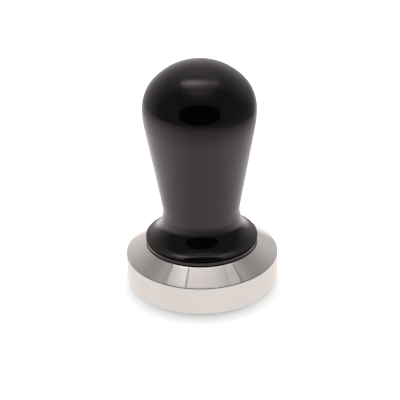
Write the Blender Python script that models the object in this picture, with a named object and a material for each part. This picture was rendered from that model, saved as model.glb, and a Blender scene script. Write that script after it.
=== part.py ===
"""Espresso tamper: a turned gloss handle screwed onto a bevelled steel base.

The origin is the centre of the flat tamping face, with +Z up the handle.
The handle unscrews from a stud that is fixed in the base, and the collar ring
under the handle lifts with it without turning.
"""

import math

import bmesh
import bpy

MM = 0.001

# Fit between neighbouring pieces
GAP = 0.3 * MM

# Steel base
BASE_RADIUS = 29.0 * MM
BASE_HEIGHT = 15.5 * MM
BASE_WALL_TOP = 10.8 * MM
BASE_FOOT_CHAMFER = 0.3 * MM
BASE_EDGE_ROUND = 0.3 * MM
LAND_RADIUS = 21.55 * MM
RECESS_RADIUS = 20.3 * MM
RECESS_DEPTH = 0.5 * MM
TAPPED_HOLE_RADIUS = 4.25 * MM
TAPPED_HOLE_FLOOR = 5.2 * MM
HOLE_CHAMFER = 0.8 * MM
DRILL_POINT_ANGLE = math.radians(31.0)

# Gasket under the collar
GASKET_INNER_RADIUS = 6.0 * MM
GASKET_THICKNESS = 0.45 * MM

# Collar ring and the O-ring inside it
COLLAR_RADIUS = 21.3 * MM
COLLAR_BOTTOM = 15.9 * MM
COLLAR_TOP = 17.25 * MM
COLLAR_BORE_RADIUS = 6.1 * MM
COLLAR_EDGE_ROUND = 0.2 * MM
O_RING_MEAN_RADIUS = 5.1 * MM
O_RING_SECTION_RADIUS = 0.7 * MM

# Stud: an M8 set screw, 25 mm long, with a 4 mm hexagon socket
STUD_RADIUS = 3.95 * MM
STUD_BOTTOM = 5.6 * MM
STUD_LENGTH = 25.0 * MM
STUD_CHAMFER = 0.8 * MM
SOCKET_ACROSS_FLATS = 4.0 * MM
SOCKET_DEPTH = 4.5 * MM

# Brass insert in the handle
INSERT_RADIUS = 6.0 * MM
INSERT_BORE_RADIUS = 4.25 * MM
INSERT_BOTTOM = 18.1 * MM
INSERT_LENGTH = 12.0 * MM
INSERT_CHAMFER = 0.5 * MM
KNURL_TEETH = 24
KNURL_DEPTH = 0.3 * MM
KNURL_GROOVE = 1.2 * MM

# Handle, from the crown down
CROWN_TOP = 88.1 * MM
CROWN_ARC = 23.0 * MM
SHOULDER_ARC = 15.25 * MM
BULB_RADIUS = 21.05 * MM
BULB_ARC = 40.0 * MM
TAPER = math.radians(9.95)
TAPER_END_Z = 30.8 * MM
WAIST_ARC = 11.3 * MM
WAIST_END = math.radians(9.75)
NECK_ARC = 45.0 * MM
NECK_END = math.radians(12.3)
FLARE_ARC = 9.5 * MM
RIM_RADIUS = 21.25 * MM
RIM_ROUND = 0.15 * MM
RIM_BOTTOM = 17.85 * MM
HANDLE_BOTTOM = COLLAR_TOP + GAP
SPIGOT_RADIUS = 20.5 * MM
HANDLE_END_BORE_RADIUS = 4.6 * MM
HANDLE_END_BORE_TOP = 32.6 * MM


def material(name, colour, metallic, roughness):
    """A Principled BSDF material."""
    made = bpy.data.materials.new(name)
    made.use_nodes = True
    shader = made.node_tree.nodes["Principled BSDF"]
    shader.inputs["Base Color"].default_value = (*colour, 1.0)
    shader.inputs["Metallic"].default_value = metallic
    shader.inputs["Roughness"].default_value = roughness
    return made


def arc(centre, radius, start, end, steps):
    """Points of an arc in the (radius, height) plane, both ends included."""
    points = []
    for step in range(steps + 1):
        angle = start + (end - start) * step / steps
        points.append((centre[0] + radius * math.cos(angle), centre[1] + radius * math.sin(angle)))
    return points


def continue_arc(outline, radius, start, end, steps):
    """Adds an arc to an outline that runs down the outside of a turned piece.

    start and end are how far the surface's normal tilts up from level. A
    positive radius bulges outwards and a negative one is hollow.
    """
    last = outline[-1]
    centre = (last[0] - radius * math.cos(start), last[1] - radius * math.sin(start))
    outline.extend(arc(centre, radius, start, end, steps)[1:])


def add_object(name, bm, finish):
    """Turns a bmesh into a smooth-shaded object with its outward faces."""
    bmesh.ops.recalc_face_normals(bm, faces=bm.faces)
    mesh = bpy.data.meshes.new(name)
    bm.to_mesh(mesh)
    bm.free()
    mesh.materials.append(finish)
    mesh.shade_smooth()
    mesh.set_sharp_from_angle(angle=math.radians(28.0))
    made = bpy.data.objects.new(name, mesh)
    bpy.context.scene.collection.objects.link(made)
    return made


def turned(name, outline, segments, finish, closed=False):
    """Spins an outline of (radius, height) points about Z.

    An open outline starts and ends on the axis; a closed one makes a ring.
    """
    bm = bmesh.new()
    verts = [bm.verts.new((radius, 0.0, height)) for radius, height in outline]
    edges = [bm.edges.new(pair) for pair in zip(verts, verts[1:])]
    if closed:
        edges.append(bm.edges.new((verts[-1], verts[0])))
    bmesh.ops.spin(
        bm,
        geom=verts + edges,
        cent=(0.0, 0.0, 0.0),
        axis=(0.0, 0.0, 1.0),
        angle=math.tau,
        steps=segments,
        use_merge=True,
    )
    bmesh.ops.remove_doubles(bm, verts=bm.verts, dist=0.001 * MM)
    return add_object(name, bm, finish)


def make_base(finish):
    """Bevelled disc with a tapped blind hole and a shallow gasket recess."""
    recess_floor = BASE_HEIGHT - RECESS_DEPTH
    drill_tip = TAPPED_HOLE_FLOOR - TAPPED_HOLE_RADIUS * math.tan(DRILL_POINT_ANGLE)
    bevel_tilt = math.atan2(BASE_RADIUS - LAND_RADIUS, BASE_HEIGHT - BASE_WALL_TOP)
    outline = [(0.0, 0.0), (BASE_RADIUS - BASE_FOOT_CHAMFER, 0.0), (BASE_RADIUS, BASE_FOOT_CHAMFER)]
    edge_centre = (BASE_RADIUS - BASE_EDGE_ROUND, BASE_WALL_TOP - BASE_EDGE_ROUND * 0.5)
    outline += arc(edge_centre, BASE_EDGE_ROUND, 0.0, bevel_tilt, 3)
    outline += [(LAND_RADIUS, BASE_HEIGHT), (RECESS_RADIUS, BASE_HEIGHT), (RECESS_RADIUS, recess_floor)]
    outline += [(TAPPED_HOLE_RADIUS + HOLE_CHAMFER, recess_floor)]
    outline += [(TAPPED_HOLE_RADIUS, recess_floor - HOLE_CHAMFER), (TAPPED_HOLE_RADIUS, TAPPED_HOLE_FLOOR)]
    outline += [(0.0, drill_tip)]
    return turned("base", outline, 96, finish)


def make_gasket(finish):
    """Thin flat ring that lies in the base's recess."""
    bottom = BASE_HEIGHT - RECESS_DEPTH + 0.5 * GAP
    top = bottom + GASKET_THICKNESS
    outer = RECESS_RADIUS - GAP
    outline = [(GASKET_INNER_RADIUS, bottom), (outer, bottom), (outer, top), (GASKET_INNER_RADIUS, top)]
    return turned("base_gasket", outline, 72, finish, closed=True)


def make_collar(finish):
    """Thin gloss ring between the gasket and the handle."""
    edge = COLLAR_EDGE_ROUND
    outer = COLLAR_RADIUS - edge
    outline = [(COLLAR_BORE_RADIUS, COLLAR_BOTTOM)]
    outline += arc((outer, COLLAR_BOTTOM + edge), edge, -math.pi / 2, 0.0, 2)
    outline += arc((outer, COLLAR_TOP - edge), edge, 0.0, math.pi / 2, 2)
    outline += [(COLLAR_BORE_RADIUS, COLLAR_TOP)]
    return turned("collar_ring", outline, 96, finish, closed=True)


def make_o_ring(finish):
    """Rubber ring that grips the stud inside the collar's bore."""
    height = COLLAR_BOTTOM + 0.5 * GAP + O_RING_SECTION_RADIUS
    outline = arc((O_RING_MEAN_RADIUS, height), O_RING_SECTION_RADIUS, 0.0, math.tau, 10)[:-1]
    return turned("o_ring", outline, 32, finish, closed=True)


def make_stud(finish):
    """Set screw with chamfered ends and a hexagon socket in its top."""
    top = STUD_BOTTOM + STUD_LENGTH
    end_radius = STUD_RADIUS - STUD_CHAMFER
    outline = [(0.0, STUD_BOTTOM), (end_radius, STUD_BOTTOM), (STUD_RADIUS, STUD_BOTTOM + STUD_CHAMFER)]
    outline += [(STUD_RADIUS, top - STUD_CHAMFER), (end_radius, top), (0.0, top)]
    stud = turned("threaded_stud", outline, 32, finish)

    bm = bmesh.new()
    bmesh.ops.create_cone(
        bm,
        cap_ends=True,
        segments=6,
        radius1=SOCKET_ACROSS_FLATS / math.sqrt(3.0),
        radius2=SOCKET_ACROSS_FLATS / math.sqrt(3.0),
        depth=2.0 * SOCKET_DEPTH,
    )
    bmesh.ops.translate(bm, verts=bm.verts, vec=(0.0, 0.0, top))
    socket = add_object("socket_cutter", bm, finish)
    socket.hide_render = True
    socket.display_type = "WIRE"
    cut = stud.modifiers.new("Socket", "BOOLEAN")
    cut.object = socket
    cut.operation = "DIFFERENCE"
    cut.solver = "EXACT"
    return stud


def make_insert(finish):
    """Brass bush with two knurled bands, pressed into the handle."""
    top = INSERT_BOTTOM + INSERT_LENGTH
    root = INSERT_RADIUS - KNURL_DEPTH
    middle = INSERT_BOTTOM + 0.5 * INSERT_LENGTH
    groove_low = middle - 0.5 * KNURL_GROOVE
    groove_high = middle + 0.5 * KNURL_GROOVE
    bore = INSERT_BORE_RADIUS
    # each level: height, radius at a tooth's root, radius at its tip
    levels = [
        (INSERT_BOTTOM + INSERT_CHAMFER, bore, bore),
        (INSERT_BOTTOM, bore + INSERT_CHAMFER, bore + INSERT_CHAMFER),
        (INSERT_BOTTOM, root - INSERT_CHAMFER, root - INSERT_CHAMFER),
        (INSERT_BOTTOM + INSERT_CHAMFER, root, INSERT_RADIUS),
        (groove_low, root, INSERT_RADIUS),
        (groove_low + 0.5 * KNURL_DEPTH, root - KNURL_DEPTH, root - KNURL_DEPTH),
        (groove_high - 0.5 * KNURL_DEPTH, root - KNURL_DEPTH, root - KNURL_DEPTH),
        (groove_high, root, INSERT_RADIUS),
        (top - INSERT_CHAMFER, root, INSERT_RADIUS),
        (top, root - INSERT_CHAMFER, root - INSERT_CHAMFER),
        (top, bore + INSERT_CHAMFER, bore + INSERT_CHAMFER),
        (top - INSERT_CHAMFER, bore, bore),
    ]
    bm = bmesh.new()
    rings = []
    for height, root_radius, tip_radius in levels:
        ring = []
        for index in range(2 * KNURL_TEETH):
            angle = math.pi * index / KNURL_TEETH
            radius = tip_radius if index % 2 else root_radius
            ring.append(bm.verts.new((radius * math.cos(angle), radius * math.sin(angle), height)))
        rings.append(ring)
    for lower, upper in zip(rings, rings[1:] + rings[:1]):
        for index in range(2 * KNURL_TEETH):
            after = (index + 1) % (2 * KNURL_TEETH)
            bm.faces.new((lower[index], lower[after], upper[after], upper[index]))
    return add_object("threaded_insert", bm, finish)


def handle_outside():
    """Outline of the handle's outside, from the crown's centre to the rim."""
    # the crown's arc runs into the shoulder's where that reaches BULB_RADIUS
    crown_end = math.acos((BULB_RADIUS - SHOULDER_ARC) / (CROWN_ARC - SHOULDER_ARC))
    outline = [(0.0, CROWN_TOP)]
    continue_arc(outline, CROWN_ARC, math.pi / 2, crown_end, 7)
    continue_arc(outline, SHOULDER_ARC, crown_end, 0.0, 7)
    continue_arc(outline, BULB_ARC, 0.0, -TAPER, 2)
    drop = outline[-1][1] - TAPER_END_Z
    outline.append((outline[-1][0] - drop * math.tan(TAPER), TAPER_END_Z))
    continue_arc(outline, -WAIST_ARC, -TAPER, WAIST_END, 4)
    continue_arc(outline, -NECK_ARC, WAIST_END, NECK_END, 1)
    # the flare ends where its rounded rim reaches RIM_RADIUS
    reach = outline[-1][0] + FLARE_ARC * math.cos(NECK_END) + RIM_ROUND - RIM_RADIUS
    flare_end = math.acos(reach / (FLARE_ARC + RIM_ROUND))
    continue_arc(outline, -FLARE_ARC, NECK_END, flare_end, 9)
    continue_arc(outline, RIM_ROUND, flare_end, 0.0, 2)
    return outline


def make_handle(finish):
    """Turned grip with a blind stepped bore for the insert and the stud's end."""
    seat_radius = INSERT_RADIUS + GAP
    seat_top = INSERT_BOTTOM + INSERT_LENGTH + GAP
    end_cone = HANDLE_END_BORE_RADIUS * math.tan(DRILL_POINT_ANGLE)
    outline = handle_outside()
    outline += [(RIM_RADIUS, RIM_BOTTOM), (SPIGOT_RADIUS, RIM_BOTTOM), (SPIGOT_RADIUS, HANDLE_BOTTOM)]
    outline += [(seat_radius, HANDLE_BOTTOM), (seat_radius, seat_top)]
    outline += [(HANDLE_END_BORE_RADIUS, seat_top), (HANDLE_END_BORE_RADIUS, HANDLE_END_BORE_TOP)]
    outline += [(0.0, HANDLE_END_BORE_TOP + end_cone)]
    return turned("handle_grip", outline, 80, finish)


def main():
    for old in list(bpy.data.objects):
        bpy.data.objects.remove(old, do_unlink=True)

    steel = material("polished_steel", (0.70, 0.66, 0.63), 1.0, 0.15)
    zinc = material("zinc_plated_steel", (0.60, 0.60, 0.62), 1.0, 0.35)
    brass = material("brass", (0.75, 0.55, 0.25), 1.0, 0.3)
    rubber = material("black_rubber", (0.015, 0.015, 0.015), 0.0, 0.75)
    gloss = material("gloss_black", (0.006, 0.006, 0.006), 0.0, 0.08)

    # fixed pieces
    base = make_base(steel)
    for piece in (make_gasket(rubber), make_stud(zinc)):
        piece.parent = base

    # the collar and O-ring lift up the stud, and the handle turns on the collar
    collar = make_collar(gloss)
    handle = make_handle(gloss)
    make_o_ring(rubber).parent = collar
    make_insert(brass).parent = handle
    handle.parent = collar


main()
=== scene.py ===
"""Looks of the espresso tamper: a fine-turned steel base, a gloss black collar and
handle, and the threaded parts that join them. Lengths are in metres."""

import math

import bmesh
import bpy
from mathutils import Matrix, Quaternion, Vector


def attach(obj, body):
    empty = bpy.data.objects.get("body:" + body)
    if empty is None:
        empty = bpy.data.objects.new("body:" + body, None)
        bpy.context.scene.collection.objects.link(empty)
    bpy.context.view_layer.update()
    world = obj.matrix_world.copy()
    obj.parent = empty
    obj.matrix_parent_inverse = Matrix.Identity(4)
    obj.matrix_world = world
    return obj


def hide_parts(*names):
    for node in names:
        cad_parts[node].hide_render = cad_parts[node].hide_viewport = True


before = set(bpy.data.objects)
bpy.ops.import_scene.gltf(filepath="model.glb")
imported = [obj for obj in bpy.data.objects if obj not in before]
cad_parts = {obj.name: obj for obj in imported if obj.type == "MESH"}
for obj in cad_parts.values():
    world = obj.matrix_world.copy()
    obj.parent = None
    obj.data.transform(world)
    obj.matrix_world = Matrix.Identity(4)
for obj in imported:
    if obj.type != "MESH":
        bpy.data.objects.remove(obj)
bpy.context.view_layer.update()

MM = 0.001
DEGREES = 180.0 / math.pi
ROUND_SEGMENTS = 240
FLAT_ROWS = 12

# Steel base
BASE_RADIUS = 29.0 * MM
BASE_HEIGHT = 15.5 * MM
BASE_WALL_TOP = 10.8 * MM
BASE_FOOT_ROUND = 0.35 * MM
BASE_EDGE_ROUND = 0.42 * MM
LAND_RADIUS = 21.55 * MM
LAND_EDGE_ROUND = 0.12 * MM
RECESS_RADIUS = 20.3 * MM
RECESS_DEPTH = 0.5 * MM
TAPPED_HOLE_RADIUS = 4.25 * MM
TAPPED_HOLE_FLOOR = 5.2 * MM
HOLE_CHAMFER = 0.8 * MM
DRILL_POINT_ANGLE = math.radians(31.0)

# Gasket, collar and O-ring
GASKET_INNER_RADIUS = 6.0 * MM
GASKET_OUTER_RADIUS = 20.0 * MM
GASKET_BOTTOM = 15.15 * MM
GASKET_THICKNESS = 0.45 * MM
GASKET_EDGE_ROUND = 0.1 * MM
COLLAR_RADIUS = 21.3 * MM
COLLAR_BOTTOM = 15.9 * MM
COLLAR_TOP = 17.25 * MM
COLLAR_BORE_RADIUS = 6.1 * MM
COLLAR_EDGE_ROUND = 0.2 * MM
O_RING_MEAN_RADIUS = 5.1 * MM
O_RING_SECTION_RADIUS = 0.7 * MM
O_RING_HEIGHT = 16.75 * MM
O_RING_FLASH = 0.04 * MM
O_RING_ROWS = 32

# Stud: an M8 set screw with a coarse thread and a hexagon socket
THREAD_PITCH = 1.25 * MM
CREST_SHARE = 0.25
ROOT_SHARE = 0.125
STUD_RADIUS = 3.95 * MM
STUD_ROOT_RADIUS = 3.25 * MM
STUD_BOTTOM = 5.6 * MM
STUD_TOP = 30.6 * MM
STUD_CHAMFER = 0.8 * MM
STUD_SEGMENTS = 96
SOCKET_ACROSS_FLATS = 4.0 * MM
SOCKET_DEPTH = 4.5 * MM
SOCKET_CONE_RADIUS = 1.2 * MM
SOCKET_CONE_TOP = 0.3 * MM
SOCKET_CONE_TIP = 0.8 * MM
ROWS_PER_PITCH = 16

# Brass insert in the handle
INSERT_RADIUS = 6.0 * MM
INSERT_BORE_RADIUS = 4.25 * MM
INSERT_THREAD_DEPTH = 0.22 * MM
INSERT_BOTTOM = 18.1 * MM
INSERT_TOP = 30.1 * MM
INSERT_CHAMFER = 0.5 * MM
INSERT_SEGMENTS = 288
INSERT_ROWS = 96
KNURL_TEETH = 36
KNURL_DEPTH = 0.3 * MM
KNURL_LEAD = 14.0 * MM
KNURL_GROOVE = 1.2 * MM

# Handle
CROWN_TOP = 88.1 * MM
CROWN_ARC = 23.0 * MM
SHOULDER_ARC = 15.25 * MM
BULB_RADIUS = 21.05 * MM
BULB_ARC = 40.0 * MM
TAPER = math.radians(9.95)
TAPER_END_Z = 30.8 * MM
WAIST_ARC = 11.3 * MM
WAIST_END = math.radians(9.75)
NECK_ARC = 45.0 * MM
NECK_END = math.radians(12.3)
FLARE_ARC = 9.5 * MM
RIM_RADIUS = 21.25 * MM
RIM_ROUND = 0.15 * MM
RIM_BOTTOM = 17.85 * MM
HANDLE_BOTTOM = 17.55 * MM
SPIGOT_RADIUS = 20.5 * MM
SEAT_RADIUS = 6.3 * MM
SEAT_TOP = 30.4 * MM
END_BORE_RADIUS = 4.6 * MM
END_BORE_TOP = 32.6 * MM

# Camera
CAMERA_PLACE = Vector((0.0, -453.85, 270.95)) * MM
CAMERA_AIM = Vector((-0.42, 0.0, 32.4)) * MM
CAMERA_ROLL = math.radians(-1.072)
CAMERA_LENS = 122.45


# ---------------------------------------------------------------- mesh tools

def arc(centre, radius, start, end, steps):
    """Points of an arc in the (radius, height) plane, both ends included."""
    points = []
    for step in range(steps + 1):
        angle = start + (end - start) * step / steps
        points.append((centre[0] + radius * math.cos(angle), centre[1] + radius * math.sin(angle)))
    return points


def continue_arc(outline, radius, start, end, steps):
    """Adds an arc to an outline that runs down the outside of a turned piece.

    start and end are how far the surface's normal tilts up from level. A
    positive radius bulges outwards and a negative one is hollow.
    """
    last = outline[-1]
    centre = (last[0] - radius * math.cos(start), last[1] - radius * math.sin(start))
    outline.extend(arc(centre, radius, start, end, steps)[1:])


def straight(start, end, steps):
    """Points on a straight line after its start, up to and including its end."""
    points = []
    for step in range(1, steps + 1):
        share = step / steps
        points.append((start[0] + (end[0] - start[0]) * share, start[1] + (end[1] - start[1]) * share))
    return points


def join_arc(outline, points):
    """Adds a flat stretch and then an arc, with rows near the stretch's ends that keep it flat."""
    outline += straight(outline[-1], points[0], FLAT_ROWS)
    outline += points[1:]


def skin(name, rows, segments, closed=False, sharp_angle=30.0):
    """A closed body through rings about Z, from a list of (radius, height) rows.

    A radius or a height may be a function of the angle round Z. A radius of
    zero makes a point on the axis, which an open body starts and ends with.
    """
    def at(value, angle):
        return value(angle) if callable(value) else value

    bm = bmesh.new()
    rings = []
    for radius, height in rows:
        if radius == 0.0:
            rings.append([bm.verts.new((0.0, 0.0, height))])
            continue
        ring = []
        for index in range(segments):
            angle = math.tau * index / segments
            reach = at(radius, angle)
            ring.append(bm.verts.new((reach * math.cos(angle), reach * math.sin(angle), at(height, angle))))
        rings.append(ring)
    pairs = list(zip(rings, rings[1:]))
    if closed:
        pairs.append((rings[-1], rings[0]))
    for upper, lower in pairs:
        for index in range(segments):
            after = (index + 1) % segments
            corners = [upper[index % len(upper)], upper[after % len(upper)]]
            corners += [lower[after % len(lower)], lower[index % len(lower)]]
            bm.faces.new(list(dict.fromkeys(corners)))
    bmesh.ops.recalc_face_normals(bm, faces=bm.faces)
    mesh = bpy.data.meshes.new(name)
    bm.to_mesh(mesh)
    bm.free()
    mesh.shade_smooth()
    mesh.set_sharp_from_angle(angle=math.radians(sharp_angle))
    made = bpy.data.objects.new(name, mesh)
    bpy.context.scene.collection.objects.link(made)
    return made


def dress(piece, finish, body, node):
    """Gives a piece its material, hides the imported part it stands in for, and hangs it on the body it rides
    on.
    """
    piece.data.materials.append(finish)
    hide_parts(node)
    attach(piece, body)


# ---------------------------------------------------------------- material tools

class Graph:
    """Short calls for building a tree of shader nodes."""

    def __init__(self, owner):
        owner.use_nodes = True
        self.tree = owner.node_tree
        self.tree.nodes.clear()

    def node(self, kind, **settings):
        made = self.tree.nodes.new(kind)
        for name, value in settings.items():
            setattr(made, name, value)
        return made

    def feed(self, socket, value):
        """Links a socket to another node's output, or sets its own value."""
        if isinstance(value, bpy.types.NodeSocket):
            self.tree.links.new(value, socket)
        elif value is not None:
            socket.default_value = value

    def math(self, operation, *values, clamp=False):
        made = self.node("ShaderNodeMath", operation=operation, use_clamp=clamp)
        for socket, value in zip(made.inputs, values):
            self.feed(socket, value)
        return made.outputs[0]

    def ease(self, value, start, end, low=0.0, high=1.0):
        """Runs smoothly from low to high as value goes from start to end."""
        made = self.node("ShaderNodeMapRange", interpolation_type="SMOOTHSTEP", clamp=True)
        for socket, number in zip(made.inputs, (value, start, end, low, high)):
            self.feed(socket, number)
        return made.outputs[0]

    def curve(self, value, points):
        """A value read off straight stretches between (position, level) points."""
        low, high = points[0][0], points[-1][0]
        peak = max(level for _, level in points)
        made = self.node("ShaderNodeValToRGB")
        elements = made.color_ramp.elements
        for position, level in points:
            place = (position - low) / (high - low)
            if 0.0 < place < 1.0:
                element = elements.new(place)
            else:
                element = elements[0] if place == 0.0 else elements[-1]
            element.color = (level / peak, level / peak, level / peak, 1.0)
        place = self.math("DIVIDE", self.math("SUBTRACT", value, low), high - low, clamp=True)
        self.feed(made.inputs[0], place)
        return self.math("MULTIPLY", made.outputs[0], peak)

    def mix(self, share, first, second):
        """Mixes two numbers."""
        made = self.node("ShaderNodeMix", data_type="FLOAT")
        for socket, value in zip(made.inputs, (share, None, first, second)):
            self.feed(socket, value)
        return made.outputs[0]

    def tint(self, share, first, second):
        """Mixes two colours."""
        made = self.node("ShaderNodeMix", data_type="RGBA")
        self.feed(made.inputs[0], share)
        self.feed(made.inputs[6], first)
        self.feed(made.inputs[7], second)
        return made.outputs[2]

    def length(self, x, y):
        squares = self.math("ADD", self.math("MULTIPLY", x, x), self.math("MULTIPLY", y, y))
        return self.math("SQRT", squares)

    def power(self, value, exponent):
        return self.math("POWER", self.math("ABSOLUTE", value), exponent)

    def distance(self, value, middle):
        """How far a value is from a middle one."""
        return self.math("ABSOLUTE", self.math("SUBTRACT", value, middle))

    def between(self, value, start, end, ramp):
        """1 between two values and 0 outside, with a short ramp inside each."""
        rising = self.ease(value, start, start + ramp)
        return self.math("MULTIPLY", rising, self.ease(value, end, end - ramp))

    def vector(self, x, y, z):
        made = self.node("ShaderNodeCombineXYZ")
        for socket, value in zip(made.inputs, (x, y, z)):
            self.feed(socket, value)
        return made.outputs[0]

    def noise(self, place, scale, detail=3.0, roughness=0.5):
        made = self.node("ShaderNodeTexNoise")
        self.feed(made.inputs["Vector"], place)
        made.inputs["Scale"].default_value = scale
        made.inputs["Detail"].default_value = detail
        made.inputs["Roughness"].default_value = roughness
        return made.outputs["Fac"]

    def bump(self, height, depth, strength=1.0, under=None):
        made = self.node("ShaderNodeBump")
        made.inputs["Strength"].default_value = strength
        made.inputs["Distance"].default_value = depth
        self.feed(made.inputs["Height"], height)
        self.feed(made.inputs["Normal"], under)
        return made.outputs["Normal"]


def start_material(name):
    """A material with its shader, its object coordinates, and their height and radius."""
    made = bpy.data.materials.new(name)
    graph = Graph(made)
    shader = graph.node("ShaderNodeBsdfPrincipled")
    output = graph.node("ShaderNodeOutputMaterial")
    graph.feed(output.inputs["Surface"], shader.outputs[0])
    place = graph.node("ShaderNodeTexCoord").outputs["Object"]
    split = graph.node("ShaderNodeSeparateXYZ")
    graph.feed(split.inputs[0], place)
    x, y, height = split.outputs
    return made, graph, shader, place, height, graph.length(x, y)


# ---------------------------------------------------------------- materials

def turned_steel():
    """Stainless steel with fine marks round the axis: a grained wall, and above it a lighter tint that paints
    a brighter highlight on the bevel.
    """
    made, graph, shader, place, height, radius = start_material("turned_steel")
    around = graph.vector(radius, 0.0, height)
    fine = graph.noise(around, 7000.0, detail=2.0)
    coarse = graph.noise(around, 900.0, detail=2.0)
    grain = graph.noise(place, 4200.0, detail=1.0, roughness=0.6)
    smudge = graph.noise(place, 70.0, detail=4.0)
    foot_wear = graph.ease(height, 0.9 * MM, 0.0)
    edge_wear = graph.ease(graph.distance(height, BASE_WALL_TOP), 0.35 * MM, 0.0)
    nicks = graph.ease(graph.noise(place, 900.0, detail=1.0), 0.52, 0.68)
    wear = graph.math("MULTIPLY", graph.math("ADD", foot_wear, edge_wear), nicks, clamp=True)

    shade = graph.math("ADD", graph.math("MULTIPLY", grain, 0.75), graph.math("MULTIPLY", smudge, 0.25))
    grained_steel = graph.tint(graph.ease(shade, 0.38, 0.62), (0.65, 0.635, 0.605, 1.0), (0.72, 0.705, 0.67, 1.0))
    # lighter steel tint above the wall top, with faint smudges: a painted highlight that brightens the
    # bevel's reflections
    smudged_painted_highlight = graph.tint(graph.ease(smudge, 0.4, 0.6), (0.83, 0.81, 0.79, 1.0), (0.86, 0.85, 0.83, 1.0))
    above_wall = graph.ease(height, BASE_WALL_TOP - 0.2 * MM, BASE_WALL_TOP)
    colour = graph.tint(above_wall, grained_steel, smudged_painted_highlight)
    roughness = graph.math("ADD", 0.05, graph.math("MULTIPLY", coarse, 0.03))
    roughness = graph.math("ADD", roughness, graph.math("MULTIPLY", graph.ease(smudge, 0.5, 0.75), 0.05))
    roughness = graph.math("ADD", roughness, graph.math("MULTIPLY", wear, 0.12))
    marks = graph.math("ADD", fine, graph.math("MULTIPLY", coarse, 0.8))
    relief = graph.bump(marks, 0.0004 * MM)
    relief = graph.bump(wear, 0.01 * MM, under=relief)

    graph.feed(shader.inputs["Base Color"], colour)
    shader.inputs["Metallic"].default_value = 1.0
    graph.feed(shader.inputs["Roughness"], roughness)
    shader.inputs["Anisotropic"].default_value = 0.6
    shader.inputs["Anisotropic Rotation"].default_value = 0.25
    tangent = graph.node("ShaderNodeTangent", direction_type="RADIAL", axis="Z")
    graph.feed(shader.inputs["Tangent"], tangent.outputs[0])
    graph.feed(shader.inputs["Normal"], relief)
    return made


def gloss_black():
    """Sprayed and polished black lacquer, with a warm gloss, faint polish marks and a little dust."""
    made, graph, shader, place, height, radius = start_material("gloss_black")
    cloud = graph.noise(place, 60.0, detail=4.0)
    polish = graph.noise(graph.vector(radius, 0.0, height), 1500.0, detail=3.0)
    peel = graph.noise(place, 450.0, detail=1.0)
    specks = graph.node("ShaderNodeTexVoronoi", feature="F1")
    graph.feed(specks.inputs["Vector"], place)
    specks.inputs["Scale"].default_value = 420.0
    dust = graph.ease(specks.outputs["Distance"], 0.11, 0.04)
    sparse = graph.ease(graph.noise(place, 160.0, detail=0.0), 0.6, 0.7)
    dust = graph.math("MULTIPLY", dust, sparse)

    dusty = graph.math("MULTIPLY", dust, 0.25)
    colour = graph.tint(dusty, (0.0011, 0.001, 0.001, 1.0), (0.10, 0.095, 0.09, 1.0))
    gloss = graph.math("ADD", 0.012, graph.math("MULTIPLY", graph.ease(cloud, 0.45, 0.75), 0.015))
    gloss = graph.math("ADD", gloss, graph.math("MULTIPLY", polish, 0.01))
    gloss = graph.math("ADD", gloss, graph.math("MULTIPLY", dust, 0.2))
    relief = graph.bump(peel, 0.0012 * MM)
    relief = graph.bump(polish, 0.0001 * MM, under=relief)

    graph.feed(shader.inputs["Base Color"], colour)
    graph.feed(shader.inputs["Roughness"], gloss)
    shader.inputs["IOR"].default_value = 1.53
    shader.inputs["Specular Tint"].default_value = (1.0, 0.93, 0.92, 1.0)
    graph.feed(shader.inputs["Normal"], relief)
    return made


def black_rubber():
    """Matt rubber with a fine moulded grain and a bloom of grey."""
    made, graph, shader, place, _, _ = start_material("black_rubber")
    grain = graph.noise(place, 3500.0, detail=3.0)
    bloom = graph.noise(place, 350.0, detail=3.0)
    colour = graph.tint(graph.ease(bloom, 0.45, 0.75), (0.010, 0.010, 0.010, 1.0), (0.024, 0.023, 0.022, 1.0))
    graph.feed(shader.inputs["Base Color"], colour)
    graph.feed(shader.inputs["Roughness"], graph.math("ADD", 0.6, graph.math("MULTIPLY", grain, 0.2)))
    graph.feed(shader.inputs["Normal"], graph.bump(grain, 0.01 * MM))
    return made


def plated_steel():
    """Zinc-plated steel: dull, slightly blue, with cloudy passivation."""
    made, graph, shader, place, _, radius = start_material("plated_steel")
    cloud = graph.noise(place, 400.0, detail=4.0)
    grain = graph.noise(place, 3000.0, detail=2.0)
    worn = graph.ease(radius, STUD_RADIUS - 0.12 * MM, STUD_RADIUS)
    colour = graph.tint(graph.ease(cloud, 0.4, 0.6), (0.52, 0.53, 0.56, 1.0), (0.64, 0.62, 0.56, 1.0))
    roughness = graph.math("ADD", 0.36, graph.math("MULTIPLY", grain, 0.12))
    roughness = graph.math("SUBTRACT", roughness, graph.math("MULTIPLY", worn, 0.14))
    graph.feed(shader.inputs["Base Color"], colour)
    shader.inputs["Metallic"].default_value = 1.0
    graph.feed(shader.inputs["Roughness"], roughness)
    graph.feed(shader.inputs["Normal"], graph.bump(grain, 0.004 * MM))
    return made


def machined_brass():
    """Machined brass with tool marks round the axis and a little tarnish."""
    made, graph, shader, place, height, radius = start_material("machined_brass")
    marks = graph.noise(graph.vector(radius, 0.0, height), 5000.0, detail=2.0)
    tarnish = graph.noise(place, 500.0, detail=4.0)
    colour = graph.tint(graph.ease(tarnish, 0.42, 0.7), (0.78, 0.58, 0.27, 1.0), (0.52, 0.36, 0.16, 1.0))
    graph.feed(shader.inputs["Base Color"], colour)
    shader.inputs["Metallic"].default_value = 1.0
    graph.feed(shader.inputs["Roughness"], graph.math("ADD", 0.22, graph.math("MULTIPLY", tarnish, 0.2)))
    graph.feed(shader.inputs["Normal"], graph.bump(marks, 0.003 * MM))
    return made


# ---------------------------------------------------------------- pieces

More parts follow.
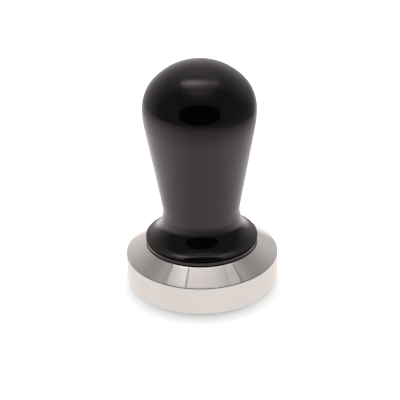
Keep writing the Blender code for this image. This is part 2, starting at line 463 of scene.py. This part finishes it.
def make_base():
    """Bevelled steel disc with eased edges, a gasket recess and a countersunk hole."""
    recess_floor = BASE_HEIGHT - RECESS_DEPTH
    drill_tip = TAPPED_HOLE_FLOOR - TAPPED_HOLE_RADIUS * math.tan(DRILL_POINT_ANGLE)
    bevel_tilt = math.atan2(BASE_RADIUS - LAND_RADIUS, BASE_HEIGHT - BASE_WALL_TOP)
    foot = (BASE_RADIUS - BASE_FOOT_ROUND, BASE_FOOT_ROUND)
    edge = (BASE_RADIUS - BASE_EDGE_ROUND, BASE_WALL_TOP - BASE_EDGE_ROUND * 0.5)
    land = (LAND_RADIUS - LAND_EDGE_ROUND, BASE_HEIGHT - LAND_EDGE_ROUND)
    lip = (RECESS_RADIUS + LAND_EDGE_ROUND, BASE_HEIGHT - LAND_EDGE_ROUND)
    rows = [(0.0, 0.0)]
    rows += straight((0.0, 0.0), (BASE_RADIUS - BASE_FOOT_ROUND, 0.0), FLAT_ROWS)
    rows += arc(foot, BASE_FOOT_ROUND, -math.pi / 2, 0.0, 8)[1:]
    join_arc(rows, arc(edge, BASE_EDGE_ROUND, 0.0, bevel_tilt, 12))
    join_arc(rows, arc(land, LAND_EDGE_ROUND, bevel_tilt, math.pi / 2, 6))
    join_arc(rows, arc(lip, LAND_EDGE_ROUND, math.pi / 2, math.pi, 6))
    rows += [(RECESS_RADIUS, recess_floor), (TAPPED_HOLE_RADIUS + HOLE_CHAMFER, recess_floor)]
    rows += [(TAPPED_HOLE_RADIUS, recess_floor - HOLE_CHAMFER), (TAPPED_HOLE_RADIUS, TAPPED_HOLE_FLOOR)]
    rows += [(0.0, drill_tip)]
    return skin("turned_base", rows, ROUND_SEGMENTS)


def rounded_ring(name, inner, outer, bottom, top, edge_round):
    """Flat ring with all four edges rounded."""
    corners = [
        (outer - edge_round, bottom + edge_round, -math.pi / 2),
        (outer - edge_round, top - edge_round, 0.0),
        (inner + edge_round, top - edge_round, math.pi / 2),
        (inner + edge_round, bottom + edge_round, math.pi),
    ]
    rows = []
    for radius, height, start in corners:
        bend = arc((radius, height), edge_round, start, start + math.pi / 2, 10)
        if rows:
            join_arc(rows, bend)
        else:
            rows += bend
    rows += straight(rows[-1], rows[0], FLAT_ROWS)[:-1]
    return skin(name, rows, ROUND_SEGMENTS, closed=True, sharp_angle=40.0)


def make_o_ring():
    """Rubber ring with the faint flash line that its mould leaves."""
    rows = []
    for step in range(O_RING_ROWS):
        angle = math.tau * step / O_RING_ROWS
        flash = O_RING_FLASH if step % (O_RING_ROWS // 2) == 0 else 0.0
        reach = O_RING_SECTION_RADIUS - O_RING_FLASH + flash
        rows.append((O_RING_MEAN_RADIUS + reach * math.cos(angle), O_RING_HEIGHT + reach * math.sin(angle)))
    return skin("stud_o_ring", rows, STUD_SEGMENTS, closed=True, sharp_angle=60.0)


def thread_depth(height, angle):
    """Depth below the crest, from 0 to 1, of a right-hand thread with flats at crest and root."""
    turn = (height / THREAD_PITCH - angle / math.tau) % 1.0
    from_root = abs(turn - 0.5) - 0.5 * ROOT_SHARE
    flank = from_root / (0.5 - 0.5 * ROOT_SHARE - 0.5 * CREST_SHARE)
    return 1.0 - min(1.0, max(0.0, flank))


def make_stud():
    """Set screw: a rolled thread, chamfered ends and a hexagon socket in its top."""
    def threaded(height, limit):
        def reach(angle):
            depth = (STUD_RADIUS - STUD_ROOT_RADIUS) * thread_depth(height, angle)
            return min(limit, STUD_RADIUS - depth)
        return reach

    def hexagon(angle):
        sector = math.pi / 3.0
        return 0.5 * SOCKET_ACROSS_FLATS / math.cos((angle + sector / 2.0) % sector - sector / 2.0)

    end_radius = STUD_RADIUS - STUD_CHAMFER
    rows = [(0.0, STUD_BOTTOM), (0.5 * end_radius, STUD_BOTTOM)]
    count = round((STUD_TOP - STUD_BOTTOM) / THREAD_PITCH * ROWS_PER_PITCH)
    for row in range(count + 1):
        height = STUD_BOTTOM + (STUD_TOP - STUD_BOTTOM) * row / count
        from_end = min(height - STUD_BOTTOM, STUD_TOP - height)
        rows.append((threaded(height, end_radius + from_end), height))
    socket_floor = STUD_TOP - SOCKET_DEPTH
    rows += [(hexagon, STUD_TOP), (hexagon, socket_floor)]
    rows += [(SOCKET_CONE_RADIUS, socket_floor - SOCKET_CONE_TOP), (0.0, socket_floor - SOCKET_CONE_TIP)]
    return skin("m8_stud", rows, STUD_SEGMENTS, sharp_angle=35.0)


def make_insert():
    """Brass bush with two bands of diamond knurling, a plain groove between them and a thread inside."""
    middle = 0.5 * (INSERT_BOTTOM + INSERT_TOP)
    groove = 0.5 * KNURL_GROOVE

    def knurled(height):
        from_end = min(height - INSERT_BOTTOM, INSERT_TOP - height)
        from_groove = abs(height - middle) - groove
        fade = min(1.0, max(0.0, min(from_end, from_groove) / INSERT_CHAMFER))
        plain = INSERT_RADIUS - KNURL_DEPTH
        if from_groove < 0.0:
            return plain - 0.5 * KNURL_DEPTH

        def reach(angle):
            wind = math.tau * height / KNURL_LEAD
            right = abs(((angle + wind) * KNURL_TEETH / math.tau) % 1.0 - 0.5) * 2.0
            left = abs(((angle - wind) * KNURL_TEETH / math.tau) % 1.0 - 0.5) * 2.0
            return plain + KNURL_DEPTH * fade * min(right, left)
        return reach

    def tapped(height):
        def reach(angle):
            return INSERT_BORE_RADIUS - INSERT_THREAD_DEPTH * thread_depth(height, angle)
        return reach

    rows = []
    for row in range(INSERT_ROWS + 1):
        height = INSERT_BOTTOM + (INSERT_TOP - INSERT_BOTTOM) * row / INSERT_ROWS
        rows.append((knurled(height), height))
    thread_length = INSERT_TOP - INSERT_BOTTOM - 2.0 * INSERT_CHAMFER
    thread_rows = round(thread_length / THREAD_PITCH * ROWS_PER_PITCH)
    rows.append((INSERT_BORE_RADIUS + INSERT_CHAMFER, INSERT_TOP))
    for row in range(thread_rows + 1):
        height = INSERT_TOP - INSERT_CHAMFER - thread_length * row / thread_rows
        rows.append((tapped(height), height))
    rows.append((INSERT_BORE_RADIUS + INSERT_CHAMFER, INSERT_BOTTOM))
    return skin("knurled_insert", rows, INSERT_SEGMENTS, closed=True, sharp_angle=40.0)


def make_handle():
    """Turned grip: crown, bulb, taper, waist and flare, with a stepped bore from below."""
    crown_end = math.acos((BULB_RADIUS - SHOULDER_ARC) / (CROWN_ARC - SHOULDER_ARC))
    rows = [(0.0, CROWN_TOP)]
    continue_arc(rows, CROWN_ARC, math.pi / 2, crown_end, 24)
    continue_arc(rows, SHOULDER_ARC, crown_end, 0.0, 24)
    continue_arc(rows, BULB_ARC, 0.0, -TAPER, 8)
    drop = rows[-1][1] - TAPER_END_Z
    rows += straight(rows[-1], (rows[-1][0] - drop * math.tan(TAPER), TAPER_END_Z), FLAT_ROWS)
    continue_arc(rows, -WAIST_ARC, -TAPER, WAIST_END, 14)
    continue_arc(rows, -NECK_ARC, WAIST_END, NECK_END, 4)
    # the flare ends where its rounded rim reaches RIM_RADIUS
    reach = rows[-1][0] + FLARE_ARC * math.cos(NECK_END) + RIM_ROUND - RIM_RADIUS
    flare_end = math.acos(reach / (FLARE_ARC + RIM_ROUND))
    continue_arc(rows, -FLARE_ARC, NECK_END, flare_end, 48)
    continue_arc(rows, RIM_ROUND, flare_end, 0.0, 12)
    rim_edge = (RIM_RADIUS - 0.5 * RIM_ROUND, RIM_BOTTOM + 0.5 * RIM_ROUND)
    join_arc(rows, arc(rim_edge, 0.5 * RIM_ROUND, 0.0, -math.pi / 2, 6))
    rows += [(SPIGOT_RADIUS, RIM_BOTTOM), (SPIGOT_RADIUS, HANDLE_BOTTOM)]
    rows += [(SEAT_RADIUS, HANDLE_BOTTOM), (SEAT_RADIUS, SEAT_TOP), (END_BORE_RADIUS, SEAT_TOP)]
    rows += [(END_BORE_RADIUS, END_BORE_TOP)]
    rows += [(0.0, END_BORE_TOP + END_BORE_RADIUS * math.tan(DRILL_POINT_ANGLE))]
    return skin("turned_handle", rows, ROUND_SEGMENTS)


# ---------------------------------------------------------------- stage

FLOOR_SIZE = 6.0
TENT_COLOUR = (1.0, 0.94, 0.93, 1.0)
WHITE = (1.0, 1.0, 1.0, 1.0)

# how bright the floor's painted glow is in reflections, by distance from the object's axis.
# Directions round the object are in degrees, with 0 towards its front, which is -Y.
FLOOR_FRONT = [
    (0.0, 1.05), (0.08, 1.05), (0.127, 0.7), (0.19, 0.46), (0.244, 0.34), (0.36, 0.21), (0.46, 0.15),
]
FLOOR_LEFT = [
    (0.0, 1.05), (0.045, 1.05), (0.075, 1.5), (0.145, 1.22), (0.168, 1.03), (0.2, 0.84), (0.25, 0.75),
    (0.5, 0.4),
]
FLOOR_RIGHT = [
    (0.0, 1.05), (0.045, 1.05), (0.075, 1.35), (0.1, 1.2), (0.145, 0.7), (0.168, 0.45), (0.2, 0.22),
    (0.5, 0.19),
]
FLOOR_BACK = [
    (0.0, 0.95), (0.045, 0.95), (0.07, 1.1), (0.1, 0.95), (0.125, 0.85), (0.2, 0.85), (0.3, 0.65),
]
FLOOR_FRONT_TO_SIDE = (0.0, 100.0)
FLOOR_SIDE_TO_BACK = (125.0, 160.0)
FLOOR_BACK_TURN = 8.0
FLOOR_TO_TENT = (0.3, 0.7)
FLOOR_PAPER = (0.86, 0.86, 0.86, 1.0)

# how bright the light tent looks in reflections, by elevation in degrees
TENT_FRONT = [
    (0.0, 0.155), (40.0, 0.14), (54.0, 0.135), (60.0, 0.165), (66.0, 0.26), (74.0, 0.5), (80.0, 0.58),
    (90.0, 0.58),
]
TENT_SWEEP = [
    (-10.0, 0.66), (0.0, 0.62), (8.0, 0.63), (16.0, 0.65), (32.0, 0.55), (48.0, 0.42), (60.0, 0.3),
    (76.0, 0.0),
]
TENT_SHOULDER = [(44.0, 0.02), (50.0, 0.07), (58.0, 0.2), (66.0, 0.12), (75.0, 0.0)]

# where the middle of its dark front is, low down and then above TENT_UPPER_RISE, where its
# sides begin, and how far from that middle its lit back starts and keeps growing, in degrees
TENT_MIDDLE = 12.0
TENT_UPPER_MIDDLE = 2.0
TENT_UPPER_RISE = 16.0
TENT_SIDE = (85.0, 112.0)
SWEEP_START = 95.0
SWEEP_SPAN = 85.0

# strip lamp in the roof: how bright it is across and along, where each is a distance over
# the height above, the panels at its ends, and two clips and a seam that dim it
LAMP_LEVEL = 2.3
LAMP_BOW = 0.6
LAMP_ACROSS = [
    (-0.17, 0.0), (-0.09, 0.06), (-0.035, 0.2), (0.03, 0.45), (0.11, 1.0), (0.18, 0.72), (0.25, 0.22),
    (0.33, 0.0),
]
LAMP_ALONG = [
    (-0.5, 0.0), (-0.485, 0.5), (-0.4, 0.7), (-0.3, 0.95), (-0.2, 1.05), (-0.1, 1.0), (0.0, 0.86),
    (0.1, 0.65), (0.2, 0.45), (0.3, 0.37), (0.45, 0.3), (0.54, 0.1), (0.58, 0.0),
]
LOWEST_RISE = 0.05
PANELS = [(-0.49, -0.23, 0.1), (0.37, 0.53, 0.12)]
PANEL_ACROSS = (-0.16, 0.02)
PANEL_RAMP = 0.02
CLIPS = [(-0.222, -0.09), (0.54, -0.06)]
CLIP_WIDTH = 0.012
CLIP_LENGTH = 0.06
CLIP_DIMMING = 0.7
SEAM_ACROSS = -0.15
SEAM_WIDTH = 0.025
SEAM_ALONG = (-0.5, 0.4)
SEAM_DIMMING = 0.4

# black opening in the tent's front, where the lens looks in
OPENING_DISTANCE = 0.5
OPENING_WIDTH = 0.98
OPENING_HEIGHT = 0.66
OPENING_GLOW = 0.015
OPENING_SQUARENESS = 2.3
OPENING_EDGE = 0.75

# soft light that falls on the floor, stronger from behind the object
DOME_LEVEL = 1.86
DOME_BACK_SHARE = 1.3


def sweep_share(graph, turn, middle):
    """How far a direction looks at the tent's lit back, from 0 to 1.

    turn and middle are degrees from the object's front, and middle is where the middle of
    the tent's dark front is.
    """
    away = graph.distance(turn, middle)
    return graph.math("DIVIDE", graph.math("SUBTRACT", away, SWEEP_START), SWEEP_SPAN, clamp=True)


def turn_from_front(graph, x, y):
    """A direction round the object in degrees, with 0 towards its front."""
    return graph.math("MULTIPLY", graph.math("ARCTAN2", x, graph.math("MULTIPLY", y, -1.0)), DEGREES)


def flat_square(name, size):
    """A level square that reaches size from its middle each way, as a new object."""
    bm = bmesh.new()
    bmesh.ops.create_grid(bm, x_segments=2, y_segments=2, size=size)
    mesh = bpy.data.meshes.new(name)
    bm.to_mesh(mesh)
    bm.free()
    made = bpy.data.objects.new(name, mesh)
    bpy.context.scene.collection.objects.link(made)
    return made


def make_floor():
    """Plain white floor. Reflections see a painted glow on it instead, dimming away from the object like
    light on a tent's floor.
    """
    floor = flat_square("floor", FLOOR_SIZE)

    white = bpy.data.materials.new("floor_white")
    graph = Graph(white)
    split = graph.node("ShaderNodeSeparateXYZ")
    graph.feed(split.inputs[0], graph.node("ShaderNodeTexCoord").outputs["Object"])
    x, y, _ = split.outputs
    distance = graph.length(x, y)
    turn = turn_from_front(graph, x, y)
    aside = graph.math("ABSOLUTE", turn)
    right = graph.math("GREATER_THAN", x, 0.0)
    side = graph.mix(right, graph.curve(distance, FLOOR_LEFT), graph.curve(distance, FLOOR_RIGHT))
    bright = graph.mix(graph.ease(aside, *FLOOR_FRONT_TO_SIDE), graph.curve(distance, FLOOR_FRONT), side)
    behind = graph.math("ABSOLUTE", graph.math("ADD", turn, FLOOR_BACK_TURN))
    bright = graph.mix(graph.ease(behind, *FLOOR_SIDE_TO_BACK), bright, graph.curve(distance, FLOOR_BACK))
    # far away, the floor is as bright as the foot of the tent's wall
    sweep = graph.math("MULTIPLY", sweep_share(graph, turn, TENT_MIDDLE), TENT_SWEEP[0][1])
    far = graph.math("ADD", TENT_FRONT[0][1], sweep)
    bright = graph.mix(graph.ease(distance, *FLOOR_TO_TENT), bright, far)
    # painted glow: rays other than the camera's see the floor shine by this emission, not by lamplight
    glow = graph.node("ShaderNodeEmission")
    glow.inputs["Color"].default_value = TENT_COLOUR
    graph.feed(glow.inputs["Strength"], bright)
    paper = graph.node("ShaderNodeBsdfDiffuse")
    paper.inputs["Color"].default_value = FLOOR_PAPER
    seen = graph.node("ShaderNodeMixShader")
    graph.feed(seen.inputs[0], graph.node("ShaderNodeLightPath").outputs["Is Camera Ray"])
    graph.feed(seen.inputs[1], glow.outputs[0])
    graph.feed(seen.inputs[2], paper.outputs[0])
    graph.feed(graph.node("ShaderNodeOutputMaterial").inputs["Surface"], seen.outputs[0])
    floor.data.materials.append(white)


def make_tent():
    """Light tent as the world: dark at the front and lit behind, with a strip lamp above.

    Only reflections see the tent. The lens sees plain white, and the floor is lit by a soft dome.
    """
    world = bpy.data.worlds.new("light_tent")
    # the tent looks different to each kind of ray, so lights aren't picked from it ahead of time
    world.cycles.sampling_method = "NONE"
    bpy.context.scene.world = world
    graph = Graph(world)
    split = graph.node("ShaderNodeSeparateXYZ")
    graph.feed(split.inputs[0], graph.node("ShaderNodeTexCoord").outputs["Generated"])
    x, y, z = split.outputs
    rise = graph.math("MULTIPLY", graph.math("ARCSINE", z), DEGREES)
    turn = turn_from_front(graph, x, y)

    # walls: the front ones are dark, and the back ones are lit and curve up out of the floor
    middle = graph.ease(rise, 0.0, TENT_UPPER_RISE, TENT_MIDDLE, TENT_UPPER_MIDDLE)
    sweep = graph.math("MULTIPLY", sweep_share(graph, turn, middle), graph.curve(rise, TENT_SWEEP))
    side = graph.ease(graph.math("ABSOLUTE", turn), *TENT_SIDE)
    shoulder = graph.math("MULTIPLY", side, graph.curve(rise, TENT_SHOULDER))
    wall = graph.math("ADD", graph.curve(rise, TENT_FRONT), graph.math("ADD", sweep, shoulder))

    # strip lamp in the roof, just behind the object
    height = graph.math("MAXIMUM", z, LOWEST_RISE)
    along = graph.math("DIVIDE", x, height)
    bow = graph.math("MULTIPLY", graph.math("MULTIPLY", along, along), LAMP_BOW)
    across = graph.math("SUBTRACT", graph.math("DIVIDE", y, height), bow)
    lamp = graph.math("MULTIPLY", graph.curve(across, LAMP_ACROSS), graph.curve(along, LAMP_ALONG))
    seen = graph.math("ADD", wall, graph.math("MULTIPLY", lamp, LAMP_LEVEL))
    panel_row = graph.between(across, *PANEL_ACROSS, PANEL_RAMP)
    for start, end, level in PANELS:
        inside = graph.math("MULTIPLY", graph.between(along, start, end, PANEL_RAMP), panel_row)
        seen = graph.math("MULTIPLY_ADD", inside, level, seen)
    for clip_along, clip_across in CLIPS:
        slim = graph.ease(graph.distance(along, clip_along), CLIP_WIDTH, 0.5 * CLIP_WIDTH)
        off_across = graph.distance(across, clip_across)
        short = graph.ease(off_across, CLIP_LENGTH, 0.5 * CLIP_LENGTH, 0.0, CLIP_DIMMING)
        clip = graph.math("MULTIPLY", slim, short)
        seen = graph.math("MULTIPLY", seen, graph.math("SUBTRACT", 1.0, clip))
    slim = graph.ease(graph.distance(across, SEAM_ACROSS), SEAM_WIDTH, 0.4 * SEAM_WIDTH, 0.0, SEAM_DIMMING)
    seam = graph.math("MULTIPLY", slim, graph.between(along, *SEAM_ALONG, PANEL_RAMP))
    seen = graph.math("MULTIPLY", seen, graph.math("SUBTRACT", 1.0, seam))

    rays = graph.node("ShaderNodeLightPath")
    soft = graph.math("MULTIPLY_ADD", y, DOME_LEVEL * DOME_BACK_SHARE, DOME_LEVEL)
    soft = graph.math("MAXIMUM", soft, 0.0)
    level = graph.mix(rays.outputs["Is Diffuse Ray"], seen, soft)
    level = graph.mix(rays.outputs["Is Camera Ray"], level, 1.0)
    plain = graph.math("MAXIMUM", rays.outputs["Is Diffuse Ray"], rays.outputs["Is Camera Ray"])
    background = graph.node("ShaderNodeBackground")
    graph.feed(background.inputs["Color"], graph.tint(plain, TENT_COLOUR, WHITE))
    graph.feed(background.inputs["Strength"], level)
    graph.feed(graph.node("ShaderNodeOutputWorld").inputs["Surface"], background.outputs[0])


def make_opening():
    """Dark card with a soft oval edge, seen only in reflections."""
    card = flat_square("tent_opening", 1.0)
    card.rotation_euler = (math.pi / 2, 0.0, 0.0)
    card.scale = (0.5 * OPENING_WIDTH, 0.5 * OPENING_HEIGHT, 1.0)
    card.location = (0.0, -OPENING_DISTANCE, 0.5 * OPENING_HEIGHT)
    card.visible_camera = False
    card.visible_diffuse = False
    card.visible_shadow = False

    dark = bpy.data.materials.new("tent_opening_dark")
    graph = Graph(dark)
    split = graph.node("ShaderNodeSeparateXYZ")
    graph.feed(split.inputs[0], graph.node("ShaderNodeTexCoord").outputs["Object"])
    x, y, _ = split.outputs
    bulge = graph.math("ADD", graph.power(x, OPENING_SQUARENESS), graph.power(y, OPENING_SQUARENESS))
    cover = graph.node("ShaderNodeMixShader")
    graph.feed(cover.inputs[0], graph.ease(bulge, 1.0, OPENING_EDGE))
    glow = graph.node("ShaderNodeEmission")
    glow.inputs["Strength"].default_value = OPENING_GLOW
    graph.feed(cover.inputs[1], graph.node("ShaderNodeBsdfTransparent").outputs[0])
    graph.feed(cover.inputs[2], glow.outputs[0])
    graph.feed(graph.node("ShaderNodeOutputMaterial").inputs["Surface"], cover.outputs[0])
    card.data.materials.append(dark)


def make_camera():
    """Camera at the angle and distance of a close product shot."""
    data = bpy.data.cameras.new("camera")
    data.lens = CAMERA_LENS
    data.clip_start = 0.01
    camera = bpy.data.objects.new("camera", data)
    bpy.context.scene.collection.objects.link(camera)
    camera.location = CAMERA_PLACE
    camera.rotation_mode = "QUATERNION"
    level = (CAMERA_AIM - CAMERA_PLACE).to_track_quat("-Z", "Y")
    camera.rotation_quaternion = level @ Quaternion((0.0, 0.0, 1.0), CAMERA_ROLL)
    bpy.context.scene.camera = camera


def main():
    make_camera()
    make_floor()
    make_tent()
    make_opening()
    bpy.context.scene.view_settings.view_transform = "Standard"

    gloss = gloss_black()
    rubber = black_rubber()
    dress(make_base(), turned_steel(), "base_assembly", "base")
    gasket_top = GASKET_BOTTOM + GASKET_THICKNESS
    gasket = rounded_ring(
        "flat_gasket", GASKET_INNER_RADIUS, GASKET_OUTER_RADIUS, GASKET_BOTTOM, gasket_top, GASKET_EDGE_ROUND
    )
    dress(gasket, rubber, "base_assembly", "base_gasket")
    dress(make_stud(), plated_steel(), "base_assembly", "threaded_stud")
    collar = rounded_ring(
        "gloss_collar", COLLAR_BORE_RADIUS, COLLAR_RADIUS, COLLAR_BOTTOM, COLLAR_TOP, COLLAR_EDGE_ROUND
    )
    dress(collar, gloss, "collar", "collar_ring")
    dress(make_o_ring(), rubber, "collar", "o_ring")
    dress(make_insert(), machined_brass(), "handle", "threaded_insert")
    dress(make_handle(), gloss, "handle", "handle_grip")


main()
